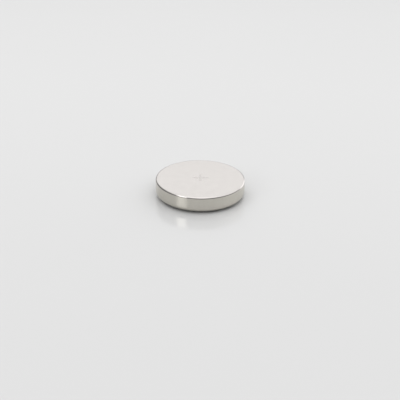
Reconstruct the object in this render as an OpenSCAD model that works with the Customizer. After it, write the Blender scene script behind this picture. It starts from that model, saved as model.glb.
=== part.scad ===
// Lithium coin cell, in millimetres, lying on its negative contact.
// The origin is the centre of the negative contact face, and +Z points out of
// the positive face. Each round piece is one section turned about the Z axis.
// In a section, X is the distance from the axis and Y is the height.

/* [Cell] */
// Outside diameter of the can
cell_d = 24.5; // [20:0.1:30]
// Height from the negative contact to the positive face
cell_h = 5; // [4.2:0.1:7.7]

/* [Positive can] */
// Thickness of the can's sheet
can_t = 0.25; // [0.22:0.01:0.3]
// Outside radius of the bend round the positive face
face_bend_r = 0.6; // [0.4:0.05:0.8]
// Height of the crimp above the plane of the negative contact
crimp_lift = 0.45; // [0.35:0.05:0.55]
// Outside radius of the crimp's bend
crimp_r = 1.25; // [1:0.05:1.4]
// Length of the straight lip past the crimp's bend
lip_l = 0.65; // [0.5:0.05:0.8]
// Angle by which the lip is rolled past level, in degrees
lip_angle = 10; // [6:1:14]

/* [Negative cap] */
// Thickness of the cap's sheet
cap_t = 0.25; // [0.22:0.01:0.28]
// Inside radius of the cap's bends
cap_bend_r = 0.2; // [0.14:0.02:0.24]

/* [Sealing gasket] */
// Thickness of the gasket between the can's wall and the cap's skirt
gasket_t = 0.35; // [0.3:0.01:0.4]
// Thickness of the gasket where the lip's edge pinches it
pinch_t = 0.28; // [0.24:0.01:0.34]
// Width of the gasket's free edge, seen between the lip and the cap
gasket_show = 0.35; // [0.2:0.05:0.5]
// Depth of the gasket's free edge inside the lip's edge
gasket_recess = 0.1; // [0.05:0.01:0.14]
// Thickness of the gasket's foot on the can's floor
foot_t = 0.35; // [0.2:0.05:0.5]
// Height of the hook inside the cap's skirt
hook_h = 0.8; // [0.4:0.05:0.9]

/* [Electrodes] */
// Space between the cathode pellet and the gasket's hook
pellet_gap = 1.2; // [0.4:0.1:2]
// Chamfer round both edges of the pellet
pellet_chamfer = 0.15; // [0.05:0.01:0.25]
// Space between the lithium disc and the flat inside of the cap
lithium_gap = 0.3; // [0.1:0.1:1.5]
// Space between the separator and the gasket's hook
separator_gap = 0.1; // [0.05:0.05:0.3]
// Thickness of the separator
separator_t = 0.15; // [0.1:0.01:0.2]

/* [Current collector] */
// Width of the pellet's border outside the grid
grid_inset = 0.6; // [0.2:0.1:2]
// Thickness of the grid's sheet
grid_t = 0.1; // [0.06:0.01:0.14]
// Length of the step from one diamond opening to the next in its row
diamond_l = 2.1; // [1.7:0.1:2.8]
// Width of the step from one diamond opening to the next across the rows
diamond_w = 1.3; // [1:0.1:1.8]
// Width of the strands between the openings
strand_w = 0.2; // [0.12:0.01:0.26]

/* [Hidden] */
$fn = 96;

// A length to the nearest thousandth
function tidy(value) = round(value * 1000) / 1000;

// Radii, from the can's wall inward
can_r = cell_d / 2;
can_bore_r = can_r - can_t;
skirt_r = can_bore_r - gasket_t;
skirt_bore_r = skirt_r - cap_t;
hook_bore_r = skirt_bore_r - gasket_t;

// The crimp: a bend past level, then a straight lip that rises inward. The
// lip's end has one corner on its outer face and one on its inner face.
crimp_centre = [can_r - crimp_r, crimp_lift + crimp_r];
lip_way = [-cos(lip_angle), sin(lip_angle)];
lip_across = [sin(lip_angle), cos(lip_angle)];
lip_end = crimp_centre + lip_l * lip_way - crimp_r * lip_across;
lip_end_inner = lip_end + can_t * lip_across;

// The cap: its contact face, the wall that steps up to its shoulder, and the
// bend from the shoulder to its skirt
bend_r = cap_bend_r + cap_t;
cap_wall_r = tidy(lip_end.x - gasket_show);
cap_wall_bore_r = cap_wall_r - cap_t;
contact_r = cap_wall_bore_r - cap_bend_r;
shoulder_z = tidy(lip_end_inner.y + pinch_t);
step_centre = [cap_wall_r + cap_bend_r, shoulder_z - cap_bend_r];
shoulder_centre = [skirt_r - bend_r, shoulder_z + bend_r];

// Heights of the gasket's free edge, and from the can's floor down the stack
free_z = tidy(lip_end.y + gasket_recess);
floor_z = cell_h - can_t;
foot_z = floor_z - foot_t;
grid_z = floor_z - grid_t;
separator_z = shoulder_z + cap_t;
pellet_z = separator_z + separator_t;
lithium_z = cap_t;

// The discs of the stack
pellet_r = hook_bore_r - pellet_gap;
separator_r = hook_bore_r - separator_gap;
lithium_r = contact_r - lithium_gap;
grid_r = pellet_r - grid_inset;

// Each opening is the diamond of its step, less half a strand on every side
diamond_side = norm([diamond_l, diamond_w]) / 2;
diamond_depth = diamond_l * diamond_w / 4 / diamond_side;
opening_share = 1 - strand_w / 2 / diamond_depth;
opening_l = diamond_l * opening_share;
opening_w = diamond_w * opening_share;
grid_rows = ceil(grid_r / diamond_w) * 2;
grid_columns = ceil(grid_r / diamond_l);

// A rectangle of a section, between two radii and two heights
module band(r0, r1, z0, z1) {
    translate([r0, z0]) square([r1 - r0, z1 - z0]);
}

// A bend of a section: the stretch of a ring between two angles
module bend(centre, inner, outer, from, to) {
    reach = outer * 2;
    translate(centre) intersection() {
        difference() {
            circle(outer);
            circle(inner);
        }
        rotate(from) translate([-reach, 0]) square([reach * 2, reach]);
        rotate(to) translate([-reach, -reach]) square([reach * 2, reach]);
    }
}

// The can: face, bend, wall, and a crimp rolled past level
module can_section() {
    face_bend = [can_r - face_bend_r, cell_h - face_bend_r];
    band(0, face_bend.x, floor_z, cell_h);
    bend(face_bend, face_bend_r - can_t, face_bend_r, 0, 90);
    band(can_bore_r, can_r, crimp_centre.y, face_bend.y);
    bend(crimp_centre, crimp_r - can_t, crimp_r, -90 - lip_angle, 0);
    translate(crimp_centre) rotate(-lip_angle)
        translate([-lip_l, -crimp_r]) square([lip_l, can_t]);
}

// The cap: contact face, wall, shoulder, and a skirt that stands in the gasket
module cap_section() {
    contact_bend = [contact_r, bend_r];
    band(0, contact_r, 0, cap_t);
    bend(contact_bend, cap_bend_r, bend_r, -90, 0);
    band(cap_wall_bore_r, cap_wall_r, contact_bend.y, step_centre.y);
    bend(step_centre, cap_bend_r, bend_r, 90, 180);
    band(step_centre.x, shoulder_centre.x, shoulder_z, separator_z);
    bend(shoulder_centre, cap_bend_r, bend_r, -90, 0);
    band(skirt_bore_r, skirt_r, shoulder_centre.y, foot_z);
}

// Everything from the inner face of the crimp outward
module beyond_crimp() {
    bend(crimp_centre, crimp_r - can_t, crimp_r * 2, -90 - lip_angle, 0);
    translate(crimp_centre) rotate(-lip_angle)
        translate([-lip_l, -crimp_r * 2]) square([lip_l, crimp_r + can_t]);
}

// The gasket: a foot, a hook and a wall round the skirt, closed over the
// shoulder by the crimp and pressed to the shape of the metal on both sides
module gasket_section() {
    difference() {
        union() {
            band(hook_bore_r, can_bore_r, foot_z, floor_z);
            band(hook_bore_r, skirt_bore_r, foot_z - hook_h, foot_z);
            band(skirt_r, can_bore_r, shoulder_z, foot_z);
            band(shoulder_centre.x, can_bore_r, free_z, shoulder_centre.y);
            band(cap_wall_r, can_bore_r, free_z, shoulder_z);
        }
        can_section();
        beyond_crimp();
        cap_section();
        translate(shoulder_centre) circle(bend_r);
    }
}

// The pellet: a pressed disc with a chamfer round each edge
module pellet_section() {
    polygon([
        [0, pellet_z],
        [pellet_r - pellet_chamfer, pellet_z],
        [pellet_r, pellet_z + pellet_chamfer],
        [pellet_r, grid_z - pellet_chamfer],
        [pellet_r - pellet_chamfer, grid_z],
        [0, grid_z]
    ]);
}

// Whether the diamond opening at a place lies wholly inside the grid's border
function opening_fits(x, y) =
    max(norm([abs(x) + opening_l / 2, y]), norm([x, abs(y) + opening_w / 2]))
        < grid_r - strand_w;

// The diamond openings, in rows that are staggered by half a step
module grid_openings() {
    for (row = [-grid_rows:grid_rows], column = [-grid_columns:grid_columns]) {
        x = (column + (row % 2 == 0 ? 0 : 0.5)) * diamond_l;
        y = row * diamond_w / 2;
        if (opening_fits(x, y)) translate([x, y]) polygon([
            [opening_l / 2, 0],
            [0, opening_w / 2],
            [-opening_l / 2, 0],
            [0, -opening_w / 2]
        ]);
    }
}

module positive_can() {
    color("silver") rotate_extrude() can_section();
}

module negative_cap() {
    color("gainsboro") rotate_extrude() cap_section();
}

module sealing_gasket() {
    color("whitesmoke") rotate_extrude() gasket_section();
}

module lithium_anode() {
    color("lightsteelblue") translate([0, 0, lithium_z])
        cylinder(h = separator_z - lithium_z, r = lithium_r);
}

module separator() {
    color("white") translate([0, 0, separator_z])
        cylinder(h = separator_t, r = separator_r);
}

module cathode_pellet() {
    color("dimgray") rotate_extrude() pellet_section();
}

module current_collector() {
    color("darkgray") translate([0, 0, grid_z]) linear_extrude(grid_t) difference() {
        circle(grid_r);
        grid_openings();
    }
}

positive_can();
negative_cap();
sealing_gasket();
lithium_anode();
separator();
cathode_pellet();
current_collector();
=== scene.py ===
"""The looks of a lithium coin cell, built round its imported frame.

The cell lies on its negative contact, positive face up. The steel shells and
the gasket are turned from their sections, and the pieces sealed inside keep
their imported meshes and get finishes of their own.
"""

import math

import bmesh
import bpy
from bpy.props import (
    FloatProperty,
    FloatVectorProperty,
    IntProperty,
    PointerProperty,
)
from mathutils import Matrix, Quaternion, Vector


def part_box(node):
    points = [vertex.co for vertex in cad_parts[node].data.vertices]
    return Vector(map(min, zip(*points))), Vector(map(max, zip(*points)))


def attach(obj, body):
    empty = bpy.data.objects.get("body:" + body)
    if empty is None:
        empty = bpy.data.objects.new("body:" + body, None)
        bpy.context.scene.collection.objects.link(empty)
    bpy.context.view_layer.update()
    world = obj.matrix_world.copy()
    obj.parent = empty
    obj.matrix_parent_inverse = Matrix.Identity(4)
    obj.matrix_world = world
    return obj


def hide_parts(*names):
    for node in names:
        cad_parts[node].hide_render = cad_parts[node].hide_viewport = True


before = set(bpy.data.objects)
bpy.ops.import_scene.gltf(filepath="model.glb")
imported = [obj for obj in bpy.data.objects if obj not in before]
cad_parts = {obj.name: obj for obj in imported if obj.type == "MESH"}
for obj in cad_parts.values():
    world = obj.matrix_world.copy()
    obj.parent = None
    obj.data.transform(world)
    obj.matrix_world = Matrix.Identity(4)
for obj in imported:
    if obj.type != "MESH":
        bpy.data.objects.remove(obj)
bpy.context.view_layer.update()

bl_info = {
    "name": "Coin Cell",
    "version": (1, 0, 0),
    "blender": (4, 5, 0),
    "location": "3D View > Sidebar > Coin Cell",
    "description": "Builds a lithium coin cell and the studio round it",
    "category": "Object",
}

MM = 0.001
BODY = "root"
PREFIX = "coin_cell"

CAN_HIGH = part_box("positive_can")[1]
CAP_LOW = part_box("negative_cap")[0]

# A point of a section that is nearer to the axis than this lies on it
ON_AXIS = 1e-6 * MM
# Faces that meet at a larger angle than this are shaded as an edge
SHARP_EDGE = math.radians(40)


def length(name, text, millimetres, low=0.0):
    """A length property, given in millimetres and kept in metres."""
    return FloatProperty(
        name=name,
        description=text,
        default=millimetres * MM,
        min=low,
        unit="LENGTH",
        subtype="DISTANCE",
        precision=5,
    )


def angle(name, text, degrees):
    """An angle property, given in degrees and kept in radians."""
    return FloatProperty(
        name=name,
        description=text,
        default=math.radians(degrees),
        unit="ROTATION",
        subtype="ANGLE",
    )


def share(name, text, value, high=1.0):
    """A plain number from 0 to high."""
    return FloatProperty(name=name, description=text, default=value, min=0.0, max=high)


def colour(name, text, value):
    """A linear colour property."""
    return FloatVectorProperty(
        name=name,
        description=text,
        default=value,
        min=0.0,
        max=1.0,
        size=3,
        subtype="COLOR",
    )


class CoinCellShape(bpy.types.PropertyGroup):
    """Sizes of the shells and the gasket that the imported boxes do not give."""

    sheet: length("Sheet", "Thickness of the can's and the cap's sheet", 0.25)
    face_bend: length("Face Bend", "Outside radius of the bend round the face", 0.6)
    crimp_lift: length("Crimp Lift", "Height of the crimp above the contact face", 0.45)
    crimp_bend: length("Crimp Bend", "Outside radius of the crimp's bend", 1.25)
    lip_length: length("Lip Length", "Length of the lip past the crimp's bend", 0.65)
    lip_angle: angle("Lip Angle", "How far the lip is rolled past level", 10)
    cap_bend: length("Cap Bend", "Inside radius of the cap's bends", 0.2)
    gasket: length("Gasket", "Thickness of the gasket between wall and skirt", 0.35)
    gasket_pinch: length("Gasket Pinch", "Thickness of the gasket at the lip's edge", 0.28)
    gasket_show: length("Gasket Show", "Width of the gasket's free edge", 0.35)
    gasket_recess: length("Gasket Recess", "Depth of the free edge inside the lip", 0.1)
    gasket_foot: length("Gasket Foot", "Thickness of the gasket's foot", 0.35)
    gasket_hook: length("Gasket Hook", "Height of the hook inside the skirt", 0.8)
    edge_round: length("Edge Round", "Rounding of cut and moulded edges", 0.03)
    mark_span: length("Mark Span", "Width and height of the polarity mark", 4.2)
    mark_stroke: length("Mark Stroke", "Width of the polarity mark's strokes", 0.6)
    mark_depth: length("Mark Depth", "Depth of the polarity mark", 0.02)
    round_steps: IntProperty(
        name="Round Steps",
        description="Faces round the cell, a multiple of 4",
        default=256,
        min=32,
        max=512,
        step=4,
    )
    bend_steps: IntProperty(
        name="Bend Steps",
        description="Faces across a right-angled bend",
        default=14,
        min=3,
        max=32,
    )


class CoinCellFinish(bpy.types.PropertyGroup):
    """Colours and roughnesses of the cell's materials."""

    can_colour: colour("Can", "Bright rolled steel", (0.603, 0.577, 0.558))
    # Painted reflection tint: the wall has the same steel as the face but is given a warmer colour,
    # standing for the warm surroundings it mirrors
    wall_colour_painted_tint: colour("Wall", "Drawn steel of the can's wall", (0.597, 0.575, 0.52))
    cap_colour: colour("Cap", "Satin pressed steel", (0.55, 0.54, 0.52))
    gasket_colour: colour("Gasket", "Moulded polypropylene", (0.62, 0.62, 0.58))
    lithium_colour: colour("Lithium", "Lithium foil", (0.5, 0.51, 0.54))
    felt_colour: colour("Separator", "Non-woven felt", (0.82, 0.82, 0.8))
    pellet_colour: colour("Pellet", "Pressed cathode powder", (0.03, 0.03, 0.032))
    grid_colour: colour("Grid", "Etched steel grid", (0.5, 0.49, 0.48))
    can_roughness: share("Can Roughness", "Roughness of the can's face", 0.17)
    wall_roughness: share("Wall Roughness", "Roughness of the can's drawn wall", 0.15)
    crimp_roughness: share("Crimp Roughness", "Roughness of the can's rolled crimp", 0.26)
    # Painted shade on the crimp: its colour is multiplied by this, darkening the bottom of the can
    # where the contact shadow falls
    crimp_painted_shade: share("Crimp Tone", "Brightness of the crimp beside the wall's", 0.86)
    cap_roughness: share("Cap Roughness", "Roughness of the cap", 0.3)
    tint_fade: length("Tint Fade", "Height above the wall over which its colour starts", 0.2)


class CoinCellStudio(bpy.types.PropertyGroup):
    """Camera, floor and light."""

    camera_elevation: angle("Camera Elevation", "Height of the camera above level", 25.65)
    camera_distance: length("Camera Distance", "From the camera to the cell", 260)
    camera_lens: FloatProperty(
        name="Lens",
        description="Focal length on a 36 mm sensor",
        default=85.0,
        min=10.0,
        unit="CAMERA",
    )
    camera_aim: length("Camera Aim", "How far in front of the cell the camera aims", 8.6)
    camera_roll: angle("Camera Roll", "Turn of the camera about its own view", 0.85)
    floor_colour: colour("Floor", "Glossy white surface", (0.63, 0.63, 0.63))
    floor_roughness: share("Floor Roughness", "Gloss of the floor", 0.15)
    floor_unevenness: share("Floor Unevenness", "Share by which its gloss varies", 0.1)
    floor_ior: share("Floor IOR", "Index of refraction of the floor's gloss", 1.42, 2.0)
    floor_width: length("Floor Width", "From one side of the floor to the other", 6000)
    floor_gap: length("Floor Gap", "How far the floor is under the contact face", 0.005)
    backdrop_colour: colour("Backdrop", "What the camera sees past the floor", (0.8, 0.8, 0.8))
    tent_colour: colour("Tent Colour", "Colour of the light", (1.0, 1.0, 1.0))
    tent_azimuth: angle("Tent Azimuth", "Turn of the tent's middle from the camera", 172)
    tent_elevation: angle("Tent Elevation", "Height of the tent's middle", 60.5)
    tent_inner: angle("Tent Inner", "Angle from the middle out to which it is bright", 64.5)
    tent_outer: angle("Tent Outer", "Angle from the middle at which it has faded", 90.5)
    tent_light: share("Tent Light", "Brightness of the tent", 1.245, 10.0)
    front_light: share("Front Light", "Brightness outside the tent", 0.3, 10.0)
    shade_azimuth: angle("Shade Azimuth", "Turn of the tent's dim side from the camera", -100)
    shade_elevation: angle("Shade Elevation", "Height of the dim side's middle", 0)
    shade_inner: angle("Shade Inner", "Angle out to which the dim side is dimmest", 28)
    shade_outer: angle("Shade Outer", "Angle at which the dim side ends", 55)
    shade_light: share("Shade Light", "Brightness of the tent's dim side", 0.4, 10.0)
    horizon_height: angle("Horizon Height", "Angle up to which the light is dimmed", 23)
    horizon_share: share("Horizon Share", "Share of the light left at the horizon", 0.2)
    panel_azimuth: angle("Panel Azimuth", "Turn of the overhead panel from the camera", 0)
    panel_elevation: angle("Panel Elevation", "Height of the panel's middle", 68)
    panel_inner: angle("Panel Inner", "Angle out to which the panel is brightest", 20)
    panel_outer: angle("Panel Outer", "Angle at which the panel ends", 46)
    panel_light: share("Panel Light", "Brightness of the panel", 1.5, 50.0)
    window_azimuth: angle("Window Azimuth", "Turn of the window from the camera", -48)
    window_elevation: angle("Window Elevation", "Height of the window's middle", 27)
    window_width: angle("Window Width", "Angle across the window", 23)
    window_height: angle("Window Height", "Angle up the window", 16)
    window_light: share("Window Light", "Brightness of the window", 3.9, 50.0)
    strip_azimuth: angle("Strip Azimuth", "Turn of the low strip from the camera", 135)
    strip_elevation: angle("Strip Elevation", "Height of the strip's middle", 4)
    strip_width: angle("Strip Width", "Angle across the strip", 38)
    strip_height: angle("Strip Height", "Angle up the strip", 22)
    strip_light: share("Strip Light", "Brightness of the strip", 1.9, 50.0)
    window_softness: share("Window Softness", "Softness of the window's and strip's edges", 0.4)


# --- Sections -------------------------------------------------------------


def arc(centre, radius, start, end, steps):
    """Points of an arc about (r, z) centre, with angles in degrees."""
    turn = math.radians(end - start) / steps
    first = math.radians(start)
    return [
        (
            centre[0] + radius * math.cos(first + turn * i),
            centre[1] + radius * math.sin(first + turn * i),
        )
        for i in range(steps + 1)
    ]


def to_axis(radius, z):
    """Points from halfway in on a flat disc to its centre."""
    return [(radius / 2, z), (0, z)]


def between(start, end, steps):
    """Points that cut a straight stretch into equal steps, without its ends."""
    return [
        (
            start[0] + (end[0] - start[0]) * i / steps,
            start[1] + (end[1] - start[1]) * i / steps,
        )
        for i in range(1, steps)
    ]


def rounded(before, corner, after, size, steps=4):
    """A corner turned into a short curve between its two sides."""
    corner = Vector(corner)
    start = corner + (Vector(before) - corner).normalized() * size
    end = corner + (Vector(after) - corner).normalized() * size
    points = []
    for i in range(steps + 1):
        t = i / steps
        point = start * (1 - t) ** 2 + corner * 2 * t * (1 - t) + end * t**2
        points.append(tuple(point))
    return points


class Seal:
    """Radii and heights that the can, the gasket and the cap share."""

    def __init__(self, shape):
        self.shape = shape
        self.can_r = CAN_HIGH.x
        self.top = CAN_HIGH.z
        self.floor = self.top - shape.sheet
        self.face_centre = (self.can_r - shape.face_bend, self.top - shape.face_bend)
        self.can_bore = self.can_r - shape.sheet
        self.skirt_r = self.can_bore - shape.gasket
        self.skirt_bore = self.skirt_r - shape.sheet
        self.hook_bore = self.skirt_bore - shape.gasket
        self.foot = self.floor - shape.gasket_foot
        tilt = shape.lip_angle
        crimp_z = CAP_LOW.z + shape.crimp_lift + shape.crimp_bend
        crimp = Vector((self.can_r - shape.crimp_bend, crimp_z))
        along = Vector((-math.cos(tilt), math.sin(tilt)))
        across = Vector((math.sin(tilt), math.cos(tilt)))
        end = crimp + along * shape.lip_length - across * shape.crimp_bend
        self.crimp = crimp
        self.crimp_turn = -90 - math.degrees(tilt)
        self.lip_end = tuple(end)
        self.lip_end_inner = tuple(end + across * shape.sheet)
        self.free_z = end.y + shape.gasket_recess
        self.bend = shape.cap_bend + shape.sheet
        self.cap_wall = end.x - shape.gasket_show
        self.contact_r = self.cap_wall - self.bend
        shoulder = self.lip_end_inner[1] + shape.gasket_pinch
        self.step = (self.cap_wall + shape.cap_bend, shoulder - shape.cap_bend)
        self.shoulder = (self.skirt_r - self.bend, shoulder + self.bend)


def can_profile(seal):
    """Section of the can from the edge of its flat face to the axis inside."""
    shape, steps = seal.shape, seal.shape.bend_steps
    rounding = shape.edge_round
    face_outer = arc(seal.face_centre, shape.face_bend, 90, 0, steps)
    face_inner = arc(seal.face_centre, shape.face_bend - shape.sheet, 0, 90, steps // 2)
    crimp_outer = arc(seal.crimp, shape.crimp_bend, 0, seal.crimp_turn, steps + 2)
    crimp_inner = arc(seal.crimp, shape.crimp_bend - shape.sheet, seal.crimp_turn, 0, steps)
    points = face_outer + between(face_outer[-1], crimp_outer[0], steps=4) + crimp_outer
    points += rounded(crimp_outer[-1], seal.lip_end, seal.lip_end_inner, rounding)
    points += rounded(seal.lip_end, seal.lip_end_inner, crimp_inner[0], rounding)
    points += crimp_inner
    points += between(crimp_inner[-1], face_inner[0], steps=3)
    points += face_inner
    points += to_axis(seal.can_r, seal.floor)
    return points


def cap_profile(seal):
    """Section of the cap from the axis outside to the axis inside."""
    shape, steps = seal.shape, seal.shape.bend_steps
    small, large, rounding = shape.cap_bend, seal.bend, shape.edge_round
    low = CAP_LOW.z
    contact = (seal.contact_r, low + large)
    edge = [(seal.skirt_r, seal.foot), (seal.skirt_bore, seal.foot)]
    inner = arc(seal.shoulder, small, 0, -90, steps)
    points = to_axis(seal.contact_r, low)[::-1]
    points += arc(contact, large, -90, 0, steps)
    points += arc(seal.step, small, 180, 90, steps)
    points += arc(seal.shoulder, large, -90, 0, steps)
    points += rounded(points[-1], edge[0], edge[1], rounding)
    points += rounded(edge[0], edge[1], inner[0], rounding)
    points += inner
    points += arc(seal.step, large, 90, 180, steps)
    points += arc(contact, small, 0, -90, steps)
    points += to_axis(seal.contact_r, low + shape.sheet)
    return points


def gasket_profile(seal):
    """Closed section of the gasket, pressed between the can and the cap."""
    shape, steps = seal.shape, seal.shape.bend_steps
    rounding = shape.edge_round
    low, high = seal.lip_end, seal.lip_end_inner
    free_r = low[0] + (high[0] - low[0]) * (seal.free_z - low[1]) / (high[1] - low[1])
    free = [(free_r, seal.free_z), (seal.cap_wall, seal.free_z)]
    hook_z = seal.foot - shape.gasket_hook
    hook = [(seal.skirt_bore, hook_z), (seal.hook_bore, hook_z)]
    foot = (seal.hook_bore, seal.floor)
    step = arc(seal.step, shape.cap_bend, 180, 90, steps)
    points = arc(seal.face_centre, shape.face_bend - shape.sheet, 90, 0, steps // 2)
    points += arc(seal.crimp, shape.crimp_bend - shape.sheet, 0, seal.crimp_turn, steps)
    points += [seal.lip_end_inner, free[0]]
    points += rounded(free[0], free[1], step[0], rounding)
    points += step
    points += arc(seal.shoulder, seal.bend, -90, 0, steps)
    points += [(seal.skirt_r, seal.foot), (seal.skirt_bore, seal.foot), hook[0]]
    points += rounded(hook[0], hook[1], foot, rounding)
    points += rounded(hook[1], foot, points[0], rounding)
    return points


# --- Meshes ---------------------------------------------------------------


def turned(mesh, profile, steps, closed):
    """Adds a surface of revolution to a bmesh and returns its rings."""
    turns = [2 * math.pi * i / steps for i in range(steps)]
    rings = []
    for r, z in profile:
        if r < ON_AXIS:
            rings.append([mesh.verts.new((0, 0, z))])
        else:
            rings.append([mesh.verts.new((r * math.cos(a), r * math.sin(a), z)) for a in turns])
    pairs = list(zip(rings, rings[1:]))
    if closed:
        pairs.append((rings[-1], rings[0]))
    for one, two in pairs:
        for i in range(steps):
            j = (i + 1) % steps
            corners = [one[i % len(one)], one[j % len(one)], two[j % len(two)], two[i % len(two)]]
            mesh.faces.new(list(dict.fromkeys(corners)))
    return rings


def mark_outline(mesh, span, stroke, corner, z, steps=3):
    """Vertices of a plus sign with slightly rounded corners."""
    half, arm = stroke / 2, span / 2
    corners = [(half, half), (half, arm), (-half, arm)]
    points = []
    for turn in range(4):
        for x, y in corners:
            for _ in range(turn):
                x, y = -y, x
            points.append(Vector((x, y)))
    verts = []
    for i, here in enumerate(points):
        before, after = points[i - 1], points[(i + 1) % len(points)]
        curve = rounded(before, here, after, corner, steps)
        verts += [mesh.verts.new((x, y, z)) for x, y in curve]
    return verts


def ring_edges(mesh, ring):
    """Edges round a closed ring of vertices."""
    return [
        mesh.edges.get((a, b)) or mesh.edges.new((a, b))
        for a, b in zip(ring, ring[1:] + ring[:1])
    ]


def marked_face(mesh, rim, shape, top):
    """Fills the flat face inside its rim, with the polarity mark sunk in it."""
    depth, draft = shape.mark_depth, shape.mark_depth / 2
    corner = shape.mark_stroke / 6
    edge = mark_outline(mesh, shape.mark_span, shape.mark_stroke, corner, top)
    floor = mark_outline(
        mesh,
        shape.mark_span - 2 * draft,
        shape.mark_stroke - 2 * draft,
        corner,
        top - depth,
    )
    bmesh.ops.triangle_fill(
        mesh,
        edges=ring_edges(mesh, rim) + ring_edges(mesh, edge),
        use_beauty=True,
    )
    sunk = []
    for i in range(len(edge)):
        j = (i + 1) % len(edge)
        sunk.append(mesh.faces.new([edge[i], edge[j], floor[j], floor[i]]))
    filled = bmesh.ops.triangle_fill(mesh, edges=ring_edges(mesh, floor), use_beauty=True)
    sunk += [f for f in filled["geom"] if isinstance(f, bmesh.types.BMFace)]
    return sunk


def finished_piece(name, mesh, materials, node):
    """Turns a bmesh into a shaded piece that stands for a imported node."""
    bmesh.ops.recalc_face_normals(mesh, faces=mesh.faces)
    data = bpy.data.meshes.new(name)
    mesh.to_mesh(data)
    mesh.free()
    data.shade_smooth()
    data.set_sharp_from_angle(angle=SHARP_EDGE)
    for material in materials:
        data.materials.append(material)
    piece = bpy.data.objects.new(name, data)
    bpy.context.scene.collection.objects.link(piece)
    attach(piece, BODY)
    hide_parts(node)
    return piece


# --- Shader effects -------------------------------------------------------

FLOAT, VECTOR = "NodeSocketFloat", "NodeSocketVector"
# A Mix node's first input and its output, for each kind of value
MIX_SOCKETS = {"FLOAT": (2, 0), "RGBA": (6, 2)}


def feed(tree, socket, value):
    """Links a socket from another one, or gives it a plain value."""
    if isinstance(value, bpy.types.NodeSocket):
        tree.links.new(value, socket)
    else:
        socket.default_value = value


def add(tree, kind, **values):
    """Adds a node. A value goes to the input of its name, or else to the setting."""
    node = tree.nodes.new(kind)
    for key, value in values.items():
        socket = node.inputs.get(key.replace("_", " ").title())
        if socket is None:
            setattr(node, key, value)
        else:
            feed(tree, socket, value)
    return node


def calculate(tree, operation, *values):
    """A Math node's result."""
    node = add(tree, "ShaderNodeMath", operation=operation)
    for socket, value in zip(node.inputs, values):
        feed(tree, socket, value)
    return node.outputs[0]


def calculate_vector(tree, operation, a, b, result="Vector"):
    """A Vector Math node's result."""
    node = add(tree, "ShaderNodeVectorMath", operation=operation)
    feed(tree, node.inputs[0], a)
    feed(tree, node.inputs[1], b)
    return node.outputs[result]


def spread(tree, value, low, high, to_low=0.0, to_high=1.0, smooth=False):
    """A Map Range node's result."""
    node = add(
        tree,
        "ShaderNodeMapRange",
        interpolation_type="SMOOTHSTEP" if smooth else "LINEAR",
        value=value,
        from_min=low,
        from_max=high,
        to_min=to_low,
        to_max=to_high,
    )
    return node.outputs["Result"]


def mixed(tree, factor, a, b, kind="FLOAT", blend="MIX"):
    """A Mix node's result, for numbers or colours."""
    node = add(tree, "ShaderNodeMix", data_type=kind, blend_type=blend)
    first, result = MIX_SOCKETS[kind]
    for index, value in ((0, factor), (first, a), (first + 1, b)):
        feed(tree, node.inputs[index], value)
    return node.outputs[result]


def new_group(name, inputs, outputs):
    """An empty shader node group with its inputs and outputs."""
    group = bpy.data.node_groups.new(name, "ShaderNodeTree")
    for title, kind, value in inputs:
        socket = group.interface.new_socket(title, in_out="INPUT", socket_type=kind)
        socket.default_value = value
    for title, kind in outputs:
        group.interface.new_socket(title, in_out="OUTPUT", socket_type=kind)
    return group, group.nodes.new("NodeGroupInput"), group.nodes.new("NodeGroupOutput")


def in_millimetres(tree, place):
    """A place in millimetres, the unit of the effects' widths."""
    return calculate_vector(tree, "MULTIPLY", place, (1 / MM, 1 / MM, 1 / MM))


def noise(tree, place, width, detail, roughness):
    """A soft noise whose clouds are about as wide as the width."""
    scale = calculate(tree, "DIVIDE", 1.0, width)
    node = add(
        tree,
        "ShaderNodeTexNoise",
        vector=place,
        scale=scale,
        detail=detail,
        roughness=roughness,
    )
    return node.outputs[0]


def sheet_grain():
    """Fine lines along one direction over clouds of polish, for rolled or drawn metal."""
    name = PREFIX + "_sheet_grain"
    if name in bpy.data.node_groups:
        return bpy.data.node_groups[name]
    group, inputs, outputs = new_group(
        name,
        [
            ("Position", VECTOR, (0, 0, 0)),
            ("Along", VECTOR, (1, 1, 1)),
            ("Line Width", FLOAT, 0.1),
            ("Line Depth", FLOAT, 0.5),
            ("Cloud Width", FLOAT, 2.0),
            ("Cloud Depth", FLOAT, 0.5),
            ("Roughness", FLOAT, 0.2),
            ("Roughness Range", FLOAT, 0.1),
        ],
        [("Roughness", FLOAT), ("Height", FLOAT), ("Polish", FLOAT)],
    )
    given = inputs.outputs
    place = in_millimetres(group, given["Position"])
    along = calculate_vector(group, "MULTIPLY", place, given["Along"])
    lines = noise(group, along, given["Line Width"], detail=3.0, roughness=0.65)
    clouds = noise(group, place, given["Cloud Width"], detail=4.0, roughness=0.55)
    line = spread(group, lines, low=0.3, high=0.7)
    cloud = spread(group, clouds, low=0.35, high=0.65)
    line_height = calculate(group, "MULTIPLY", line, given["Line Depth"])
    height = calculate(group, "MULTIPLY_ADD", cloud, given["Cloud Depth"], line_height)
    polish = mixed(group, 0.5, line, cloud)
    centred = calculate(group, "SUBTRACT", polish, 0.5)
    rough = calculate(
        group, "MULTIPLY_ADD", centred, given["Roughness Range"], given["Roughness"]
    )
    feed(group, outputs.inputs["Roughness"], rough)
    feed(group, outputs.inputs["Height"], height)
    feed(group, outputs.inputs["Polish"], polish)
    return group


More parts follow.
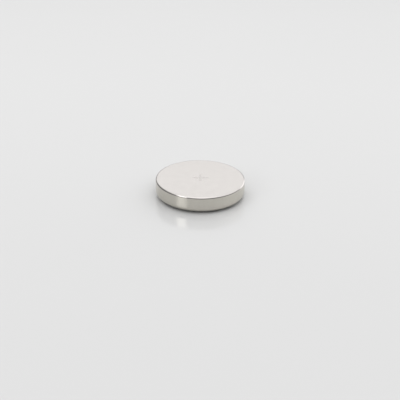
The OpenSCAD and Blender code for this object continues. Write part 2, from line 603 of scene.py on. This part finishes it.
def fine_speckle():
    """Grains and soft clouds, for moulded, pressed or felted surfaces."""
    name = PREFIX + "_fine_speckle"
    if name in bpy.data.node_groups:
        return bpy.data.node_groups[name]
    group, inputs, outputs = new_group(
        name,
        [
            ("Position", VECTOR, (0, 0, 0)),
            ("Grain Width", FLOAT, 0.1),
            ("Cloud Width", FLOAT, 1.5),
            ("Grain Share", FLOAT, 0.5),
        ],
        [("Speckle", FLOAT), ("Height", FLOAT)],
    )
    given = inputs.outputs
    place = in_millimetres(group, given["Position"])
    grain_scale = calculate(group, "DIVIDE", 1.0, given["Grain Width"])
    grains = add(group, "ShaderNodeTexVoronoi", vector=place, scale=grain_scale)
    clouds = noise(group, place, given["Cloud Width"], detail=5.0, roughness=0.6)
    grain = spread(group, grains.outputs["Distance"], low=0.0, high=0.8)
    cloud = spread(group, clouds, low=0.3, high=0.7)
    speckle = mixed(group, given["Grain Share"], cloud, grain)
    feed(group, outputs.inputs["Speckle"], speckle)
    feed(group, outputs.inputs["Height"], grain)
    return group


def group_node(tree, group, **values):
    """Places a group in a material, with its own values, and returns its outputs."""
    node = tree.nodes.new("ShaderNodeGroup")
    node.node_tree = group
    for key, value in values.items():
        feed(tree, node.inputs[key.replace("_", " ").title()], value)
    return node.outputs


def new_material(name, metallic=0.0):
    """A material with only a Principled BSDF, and the place on the piece."""
    material = bpy.data.materials.new(PREFIX + "_" + name)
    material.use_nodes = True
    tree = material.node_tree
    tree.nodes.clear()
    shader = add(tree, "ShaderNodeBsdfPrincipled", metallic=metallic)
    add(tree, "ShaderNodeOutputMaterial", surface=shader.outputs[0])
    place = tree.nodes.new("ShaderNodeTexCoord").outputs["Object"]
    return material, tree, shader, place


def finish_surface(tree, shader, tone, roughness, height, depth):
    """Feeds a shader a colour, a roughness and a relief whose depth is in millimetres."""
    feed(tree, shader.inputs["Base Color"], tone)
    feed(tree, shader.inputs["Roughness"], roughness)
    bump = add(tree, "ShaderNodeBump", height=height, distance=depth * MM, strength=1.0)
    feed(tree, shader.inputs["Normal"], bump.outputs[0])


def toned(tree, mask, base, dark, light):
    """A colour that runs between two strengths of its base with a mask."""
    low = tuple(c * dark for c in base) + (1.0,)
    high = tuple(min(1.0, c * light) for c in base) + (1.0,)
    return mixed(tree, mask, low, high, kind="RGBA")


# Scales of the grain along X, Y and Z: a small one draws the lines out that way
ALONG_X = (0.012, 1.0, 1.0)
ALONG_Z = (1.0, 1.0, 0.02)
FIBRES_X = (0.12, 1.0, 1.0)
FIBRES_Y = (1.0, 0.12, 1.0)


def can_steel(finish, seal):
    """Rolled lines on the flat face, drawn lines down the wall with a painted warm reflection tint,
    and a duller crimp darkened by painted shade.
    """
    material, tree, shader, place = new_material("can_steel", metallic=1.0)
    grain = sheet_grain()
    face = group_node(
        tree,
        grain,
        position=place,
        along=ALONG_X,
        line_width=0.07,
        line_depth=0.5,
        cloud_width=2.5,
        cloud_depth=0.4,
        roughness=finish.can_roughness,
        roughness_range=0.08,
    )
    wall = group_node(
        tree,
        grain,
        position=place,
        along=ALONG_Z,
        line_width=0.09,
        line_depth=0.6,
        cloud_width=1.5,
        cloud_depth=0.3,
        roughness=finish.wall_roughness,
        roughness_range=0.1,
    )
    x, y, z = add(tree, "ShaderNodeSeparateXYZ", vector=place).outputs
    square = calculate(tree, "MULTIPLY_ADD", x, x, calculate(tree, "MULTIPLY", y, y))
    radius = calculate(tree, "SQRT", square)
    flat_r, wall_top = seal.face_centre
    drawn_r = seal.can_r - seal.shape.face_bend / 3
    on_wall = spread(tree, radius, flat_r, drawn_r, smooth=True)
    # Painted reflection tint: below the face bend the can takes the warmer wall colour
    painted_tint_mask = spread(tree, z, wall_top + finish.tint_fade, wall_top, smooth=True)
    # Mask of the crimp, for its duller roughness and for its painted shade
    on_crimp = spread(tree, z, seal.crimp.y, seal.lip_end[1], smooth=True)
    roughness = mixed(tree, on_wall, face["Roughness"], wall["Roughness"])
    dulling = finish.crimp_roughness - finish.wall_roughness
    roughness = calculate(tree, "MULTIPLY_ADD", on_crimp, dulling, roughness)
    polish = mixed(tree, on_wall, face["Polish"], wall["Polish"])
    face_tone = toned(tree, polish, finish.can_colour, dark=0.96, light=1.04)
    wall_tone = toned(tree, polish, finish.wall_colour_painted_tint, dark=0.96, light=1.04)
    tone = mixed(tree, painted_tint_mask, face_tone, wall_tone, kind="RGBA")
    # Painted shade: the crimp's colour is darkened towards the contact, where the shadow falls
    crimp_painted_shade = (finish.crimp_painted_shade, finish.crimp_painted_shade, finish.crimp_painted_shade, 1.0)
    tone = mixed(tree, on_crimp, tone, crimp_painted_shade, kind="RGBA", blend="MULTIPLY")
    height = mixed(tree, on_wall, face["Height"], wall["Height"])
    finish_surface(tree, shader, tone, roughness, height, depth=0.0008)
    return material


def etched_steel(finish):
    """The matt floor of the polarity mark."""
    material, tree, shader, place = new_material("etched_steel", metallic=1.0)
    pits = group_node(
        tree, fine_speckle(), position=place, grain_width=0.05, cloud_width=0.4, grain_share=0.6
    )
    tone = toned(tree, pits["Speckle"], finish.can_colour, dark=0.93, light=1.0)
    rough = spread(tree, pits["Speckle"], 0.0, 1.0, to_low=0.26, to_high=0.34)
    finish_surface(tree, shader, tone, rough, pits["Height"], depth=0.003)
    return material


def cap_steel(finish):
    """Satin steel with faint rolled lines."""
    material, tree, shader, place = new_material("cap_steel", metallic=1.0)
    face = group_node(
        tree,
        sheet_grain(),
        position=place,
        along=ALONG_X,
        line_width=0.1,
        line_depth=0.5,
        cloud_width=2.0,
        cloud_depth=0.5,
        roughness=finish.cap_roughness,
        roughness_range=0.1,
    )
    tone = toned(tree, face["Polish"], finish.cap_colour, dark=0.94, light=1.05)
    finish_surface(tree, shader, tone, face["Roughness"], face["Height"], depth=0.001)
    return material


def gasket_plastic(finish):
    """Milky moulded polypropylene."""
    material, tree, shader, place = new_material("gasket_plastic")
    shader.inputs["Subsurface Weight"].default_value = 0.25
    shader.inputs["Subsurface Radius"].default_value = (0.6 * MM, 0.6 * MM, 0.5 * MM)
    shader.inputs["Subsurface Scale"].default_value = 1.0
    skin = group_node(
        tree, fine_speckle(), position=place, grain_width=0.12, cloud_width=1.2, grain_share=0.3
    )
    tone = toned(tree, skin["Speckle"], finish.gasket_colour, dark=0.93, light=1.04)
    rough = spread(tree, skin["Speckle"], 0.0, 1.0, to_low=0.34, to_high=0.5)
    finish_surface(tree, shader, tone, rough, skin["Height"], depth=0.002)
    return material


def lithium_foil(finish):
    """Soft foil with roller lines and a dull film."""
    material, tree, shader, place = new_material("lithium_foil", metallic=1.0)
    foil = group_node(
        tree,
        sheet_grain(),
        position=place,
        along=ALONG_X,
        line_width=0.2,
        line_depth=0.4,
        cloud_width=3.0,
        cloud_depth=0.8,
        roughness=0.45,
        roughness_range=0.2,
    )
    tone = toned(tree, foil["Polish"], finish.lithium_colour, dark=0.8, light=1.1)
    finish_surface(tree, shader, tone, foil["Roughness"], foil["Height"], depth=0.004)
    return material


def separator_felt(finish):
    """Non-woven felt of short crossing fibres."""
    material, tree, shader, place = new_material("separator_felt")
    grain = sheet_grain()
    across = group_node(
        tree,
        grain,
        position=place,
        along=FIBRES_X,
        line_width=0.06,
        line_depth=1.0,
        cloud_width=1.0,
        cloud_depth=0.6,
    )
    along = group_node(
        tree,
        grain,
        position=place,
        along=FIBRES_Y,
        line_width=0.06,
        line_depth=1.0,
        cloud_width=0.7,
        cloud_depth=0.6,
    )
    fibres = calculate(tree, "MAXIMUM", across["Polish"], along["Polish"])
    height = calculate(tree, "MAXIMUM", across["Height"], along["Height"])
    tone = toned(tree, fibres, finish.felt_colour, dark=0.86, light=1.06)
    rough = spread(tree, fibres, 0.0, 1.0, to_low=0.95, to_high=0.8)
    finish_surface(tree, shader, tone, rough, height, depth=0.01)
    return material


def cathode_mix(finish):
    """Pressed black powder with brighter grains of graphite."""
    material, tree, shader, place = new_material("cathode_mix")
    powder = group_node(
        tree, fine_speckle(), position=place, grain_width=0.08, cloud_width=0.9, grain_share=0.55
    )
    tone = toned(tree, powder["Speckle"], finish.pellet_colour, dark=0.6, light=1.8)
    rough = spread(tree, powder["Speckle"], 0.0, 1.0, to_low=0.92, to_high=0.62)
    finish_surface(tree, shader, tone, rough, powder["Height"], depth=0.006)
    return material


def grid_steel(finish):
    """Etched steel sheet of the collector grid."""
    material, tree, shader, place = new_material("grid_steel", metallic=1.0)
    sheet = group_node(
        tree,
        sheet_grain(),
        position=place,
        along=ALONG_X,
        line_width=0.05,
        line_depth=0.5,
        cloud_width=1.0,
        cloud_depth=0.5,
        roughness=0.38,
        roughness_range=0.12,
    )
    tone = toned(tree, sheet["Polish"], finish.grid_colour, dark=0.85, light=1.08)
    finish_surface(tree, shader, tone, sheet["Roughness"], sheet["Height"], depth=0.001)
    return material


# --- Studio ---------------------------------------------------------------


def towards(azimuth, elevation):
    """Unit vector to a place round the cell. Azimuth 0 is the camera's side."""
    return Vector(
        (
            math.sin(azimuth) * math.cos(elevation),
            -math.cos(azimuth) * math.cos(elevation),
            math.sin(elevation),
        )
    )


def dot(tree, vector, direction):
    """Result of a dot product with a fixed direction."""
    return calculate_vector(tree, "DOT_PRODUCT", vector, direction, result="Value")


def light_settings(studio, light, *parts):
    """The values of the studio's settings for one of its lights."""
    return [getattr(studio, light + "_" + part) for part in parts]


def soft_circle(tree, direction, studio, light):
    """Mask of a light's circle of the surroundings, which fades between two angles."""
    azimuth, elevation = light_settings(studio, light, "azimuth", "elevation")
    inner, outer = light_settings(studio, light, "inner", "outer")
    ahead = dot(tree, direction, towards(azimuth, elevation))
    return spread(tree, ahead, math.cos(outer), math.cos(inner), smooth=True)


def soft_window(tree, direction, studio, light):
    """Mask of a light's soft-edged rectangle of the surroundings."""
    azimuth, elevation = light_settings(studio, light, "azimuth", "elevation")
    width, height = light_settings(studio, light, "width", "height")
    soft = studio.window_softness
    centre = towards(azimuth, elevation)
    side = towards(azimuth + math.pi / 2, 0.0)
    up = side.cross(-centre).normalized()
    ahead = dot(tree, direction, centre)
    mask = calculate(tree, "GREATER_THAN", ahead, 0.0)
    for axis, size in ((side, width), (up, height)):
        half = math.tan(size / 2)
        offset = calculate(tree, "DIVIDE", dot(tree, direction, axis), ahead)
        reach = calculate(tree, "ABSOLUTE", offset)
        inside = spread(tree, reach, half * (1 + soft), half * (1 - soft), smooth=True)
        mask = calculate(tree, "MULTIPLY", mask, inside)
    return mask


def build_world(studio):
    """A tent of light over the cell, with a panel overhead, a window and a low strip."""
    world = bpy.data.worlds.new(PREFIX + "_tent")
    world.use_nodes = True
    tree = world.node_tree
    tree.nodes.clear()
    direction = tree.nodes.new("ShaderNodeTexCoord").outputs["Generated"]
    tent = soft_circle(tree, direction, studio, "tent")
    shade = soft_circle(tree, direction, studio, "shade")
    panel = soft_circle(tree, direction, studio, "panel")
    window = soft_window(tree, direction, studio, "window")
    strip = soft_window(tree, direction, studio, "strip")
    rise = dot(tree, direction, (0.0, 0.0, 1.0))
    full = math.sin(studio.horizon_height)
    horizon = spread(tree, rise, 0.0, full, to_low=studio.horizon_share, smooth=True)
    light = mixed(tree, shade, studio.tent_light, studio.shade_light)
    light = mixed(tree, tent, studio.front_light, light)
    light = calculate(tree, "MULTIPLY", light, horizon)
    light = mixed(tree, panel, light, studio.panel_light)
    light = mixed(tree, window, light, studio.window_light)
    light = mixed(tree, strip, light, studio.strip_light)
    tent_light = add(tree, "ShaderNodeBackground", color=(*studio.tent_colour, 1.0), strength=light)
    backdrop = add(tree, "ShaderNodeBackground", color=(*studio.backdrop_colour, 1.0))
    seen = tree.nodes.new("ShaderNodeLightPath").outputs["Is Camera Ray"]
    choice = tree.nodes.new("ShaderNodeMixShader")
    for socket, value in zip(choice.inputs, (seen, tent_light.outputs[0], backdrop.outputs[0])):
        feed(tree, socket, value)
    add(tree, "ShaderNodeOutputWorld", surface=choice.outputs[0])
    bpy.context.scene.world = world


def floor_material(studio):
    """Glossy white surface with barely uneven gloss."""
    material, tree, shader, place = new_material("floor")
    shader.inputs["IOR"].default_value = studio.floor_ior
    gloss = group_node(
        tree, fine_speckle(), position=place, grain_width=9.0, cloud_width=30.0, grain_share=0.2
    )
    tone = toned(tree, gloss["Speckle"], studio.floor_colour, dark=0.998, light=1.002)
    uneven = studio.floor_roughness * studio.floor_unevenness
    low, high = studio.floor_roughness - uneven, studio.floor_roughness + uneven
    rough = spread(tree, gloss["Speckle"], 0.0, 1.0, to_low=low, to_high=high)
    feed(tree, shader.inputs["Base Color"], tone)
    feed(tree, shader.inputs["Roughness"], rough)
    return material


def build_floor(studio):
    """A wide flat surface, a hair under the cell's contact face."""
    half, low = studio.floor_width / 2, CAP_LOW.z - studio.floor_gap
    data = bpy.data.meshes.new(PREFIX + "_floor")
    corners = [(-half, -half, low), (half, -half, low), (half, half, low), (-half, half, low)]
    data.from_pydata(corners, [], [(0, 1, 2, 3)])
    data.materials.append(floor_material(studio))
    floor = bpy.data.objects.new(PREFIX + "_floor", data)
    bpy.context.scene.collection.objects.link(floor)


def build_camera(studio):
    """The camera in front of the cell, looking down at it."""
    data = bpy.data.cameras.new(PREFIX + "_camera")
    data.lens = studio.camera_lens
    data.clip_start = 0.005
    data.clip_end = 20.0
    camera = bpy.data.objects.new(data.name, data)
    middle = Vector((0, 0, (CAN_HIGH.z + CAP_LOW.z) / 2))
    camera.location = middle + towards(0.0, studio.camera_elevation) * studio.camera_distance
    aim = middle + towards(0.0, 0.0) * studio.camera_aim
    turn = (aim - camera.location).to_track_quat("-Z", "Y")
    turn @= Quaternion((0, 0, 1), studio.camera_roll)
    camera.rotation_euler = turn.to_euler()
    bpy.context.scene.collection.objects.link(camera)
    bpy.context.scene.camera = camera


# --- Operators ------------------------------------------------------------


class COINCELL_OT_can(bpy.types.Operator):
    """Turn the positive can, with its face, wall, rolled crimp and polarity mark"""

    bl_idname = "coincell.can"
    bl_label = "Positive Can"

    def execute(self, context):
        shape, finish = context.scene.coin_cell_shape, context.scene.coin_cell_finish
        seal = Seal(shape)
        mesh = bmesh.new()
        rings = turned(mesh, can_profile(seal), shape.round_steps, closed=False)
        for face in marked_face(mesh, rings[0], shape, seal.top):
            face.material_index = 1
        materials = [can_steel(finish, seal), etched_steel(finish)]
        finished_piece("can_shell", mesh, materials, "positive_can")
        return {"FINISHED"}


class COINCELL_OT_cap(bpy.types.Operator):
    """Turn the negative cap, with its contact face, step, shoulder and skirt"""

    bl_idname = "coincell.cap"
    bl_label = "Negative Cap"

    def execute(self, context):
        shape, finish = context.scene.coin_cell_shape, context.scene.coin_cell_finish
        mesh = bmesh.new()
        turned(mesh, cap_profile(Seal(shape)), shape.round_steps, closed=False)
        finished_piece("cap_shell", mesh, [cap_steel(finish)], "negative_cap")
        return {"FINISHED"}


class COINCELL_OT_gasket(bpy.types.Operator):
    """Turn the sealing gasket, pressed between the can and the cap"""

    bl_idname = "coincell.gasket"
    bl_label = "Sealing Gasket"

    def execute(self, context):
        shape, finish = context.scene.coin_cell_shape, context.scene.coin_cell_finish
        mesh = bmesh.new()
        turned(mesh, gasket_profile(Seal(shape)), shape.round_steps, closed=True)
        finished_piece(
            "gasket_ring", mesh, [gasket_plastic(finish)], "sealing_gasket"
        )
        return {"FINISHED"}


class COINCELL_OT_stack(bpy.types.Operator):
    """Finish the electrodes, the separator and the grid sealed inside"""

    bl_idname = "coincell.stack"
    bl_label = "Electrode Stack"

    def execute(self, context):
        finish = context.scene.coin_cell_finish
        finishes = {
            "lithium_anode": lithium_foil,
            "separator": separator_felt,
            "cathode_pellet": cathode_mix,
            "current_collector": grid_steel,
        }
        for node, make in finishes.items():
            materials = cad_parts[node].data.materials
            materials.clear()
            materials.append(make(finish))
        return {"FINISHED"}


class COINCELL_OT_studio(bpy.types.Operator):
    """Set up the floor, the tent of light and the camera"""

    bl_idname = "coincell.studio"
    bl_label = "Studio"

    def execute(self, context):
        studio = context.scene.coin_cell_studio
        build_floor(studio)
        build_world(studio)
        build_camera(studio)
        context.scene.view_settings.view_transform = "Standard"
        return {"FINISHED"}


class COINCELL_PT_panel(bpy.types.Panel):
    """Buttons and settings of the coin cell"""

    bl_idname = "COINCELL_PT_panel"
    bl_label = "Coin Cell"
    bl_space_type = "VIEW_3D"
    bl_region_type = "UI"
    bl_category = "Coin Cell"

    def draw(self, context):
        for operator in OPERATORS:
            self.layout.operator(operator.bl_idname)
        for name in SETTINGS:
            group = getattr(context.scene, name)
            box = self.layout.box()
            for key in group.bl_rna.properties.keys():
                if key not in {"rna_type", "name"}:
                    box.prop(group, key)


OPERATORS = (
    COINCELL_OT_can,
    COINCELL_OT_cap,
    COINCELL_OT_gasket,
    COINCELL_OT_stack,
    COINCELL_OT_studio,
)
SETTINGS = {
    "coin_cell_shape": CoinCellShape,
    "coin_cell_finish": CoinCellFinish,
    "coin_cell_studio": CoinCellStudio,
}
CLASSES = (*SETTINGS.values(), *OPERATORS, COINCELL_PT_panel)


def register():
    """Registers the classes and puts their settings on the scene."""
    for cls in CLASSES:
        bpy.utils.register_class(cls)
    for name, group in SETTINGS.items():
        setattr(bpy.types.Scene, name, PointerProperty(type=group))


def unregister():
    """Takes the settings and the classes away again."""
    for name in SETTINGS:
        delattr(bpy.types.Scene, name)
    for cls in reversed(CLASSES):
        bpy.utils.unregister_class(cls)


def main():
    """Builds every piece and the studio."""
    register()
    bpy.ops.coincell.can()
    bpy.ops.coincell.cap()
    bpy.ops.coincell.gasket()
    bpy.ops.coincell.stack()
    bpy.ops.coincell.studio()
    bpy.context.view_layer.update()


if __name__ == "__main__":
    main()
